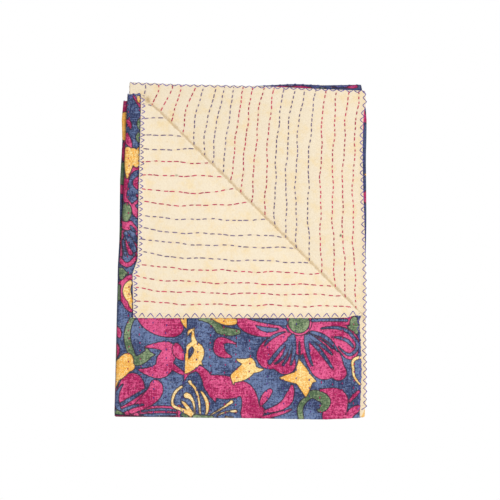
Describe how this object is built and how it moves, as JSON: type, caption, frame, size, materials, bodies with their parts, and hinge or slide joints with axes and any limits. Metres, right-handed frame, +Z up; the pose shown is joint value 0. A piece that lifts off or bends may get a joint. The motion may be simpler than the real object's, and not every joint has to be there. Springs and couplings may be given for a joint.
{
  "type": "throw blanket",
  "caption": "Hand-quilted cotton throw, printed face and cream back, folded flat for a shelf with its top corner turned back along a diagonal",
  "frame": {"origin": "on the surface that the folded throw lies on, under the middle of its box", "axes": "+Z up, +Y towards the cut edges at the top of the folded throw, +X towards the free side edge of its top panel"},
  "size_m": [0.4665, 0.6209, 0.0291],
  "materials": {
    "printed_cotton": "matt hand-printed cotton, blue, magenta, green and yellow",
    "cream_cotton": "matt undyed slub cotton"
  },
  "bodies": {
    "root": {"printed_face": "printed_cotton", "cream_back": "cream_cotton"}
  },
  "joints": []
}
